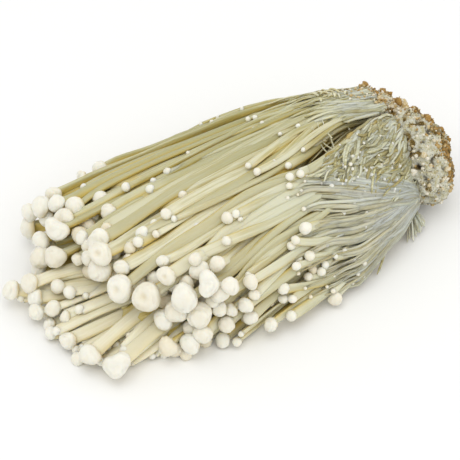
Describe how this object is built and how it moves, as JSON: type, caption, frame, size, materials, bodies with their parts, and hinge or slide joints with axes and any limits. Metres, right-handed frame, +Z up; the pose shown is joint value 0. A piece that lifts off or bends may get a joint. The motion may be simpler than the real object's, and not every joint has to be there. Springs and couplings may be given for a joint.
{
  "type": "enoki mushroom bunch",
  "caption": "Bunch of long thin white mushrooms with small domed caps, grown together from a mycelium root block with sawdust substrate, lying on its side.",
  "frame": {"origin": "on the flat patch under the root block, level with the surface the bunch lies on", "axes": "+X from the caps toward the root block, along the bunch; +Y across it toward the back; +Z up"},
  "size_m": [0.1506, 0.0821, 0.0358],
  "materials": {
    "mycelium": "matt, cottony grown mycelium",
    "substrate": "rough crumbly sawdust",
    "mushroom": "satin moist mushroom skin",
    "stems": "satin translucent stem flesh"
  },
  "bodies": {
    "root": {"root_block": "mycelium", "substrate_crumb_back": "substrate", "substrate_crumb_top": "substrate", "substrate_crust": "substrate", "mushroom_back_01": "mushroom", "mushroom_back_02": "mushroom", "mushroom_back_03": "mushroom", "mushroom_back_04": "mushroom", "mushroom_back_05": "mushroom", "mushroom_back_06": "mushroom", "mushroom_back_07": "mushroom", "mushroom_back_08": "mushroom", "mushroom_back_09": "mushroom", "mushroom_middle_01": "mushroom", "mushroom_middle_02": "mushroom", "mushroom_middle_03": "mushroom", "mushroom_middle_04": "mushroom", "mushroom_middle_05": "mushroom", "mushroom_middle_06": "mushroom", "mushroom_middle_07": "mushroom", "mushroom_middle_08": "mushroom", "mushroom_middle_09": "mushroom", "mushroom_middle_10": "mushroom", "mushroom_middle_11": "mushroom", "mushroom_middle_12": "mushroom", "mushroom_front_01": "mushroom", "mushroom_front_02": "mushroom", "mushroom_front_03": "mushroom", "mushroom_front_04": "mushroom", "mushroom_front_05": "mushroom", "mushroom_front_06": "mushroom", "mushroom_top_01": "mushroom", "mushroom_top_02": "mushroom", "mushroom_top_03": "mushroom", "mushroom_top_04": "mushroom", "mushroom_top_05": "mushroom", "mushroom_top_06": "mushroom", "mushroom_top_07": "mushroom", "mushroom_fan_01": "mushroom", "mushroom_fan_02": "mushroom", "mushroom_fan_03": "mushroom", "mushroom_fan_04": "mushroom", "mushroom_fan_05": "mushroom", "mushroom_fan_06": "mushroom", "mushroom_fan_07": "mushroom", "tuft_floor_fan": "stems", "tuft_back_upper": "stems", "tuft_top_middle": "stems", "tuft_middle": "stems", "tuft_front": "stems", "tuft_front_low": "stems", "tuft_back_edge": "stems", "tuft_back_low": "stems", "tuft_core": "stems"}
  },
  "joints": []
}
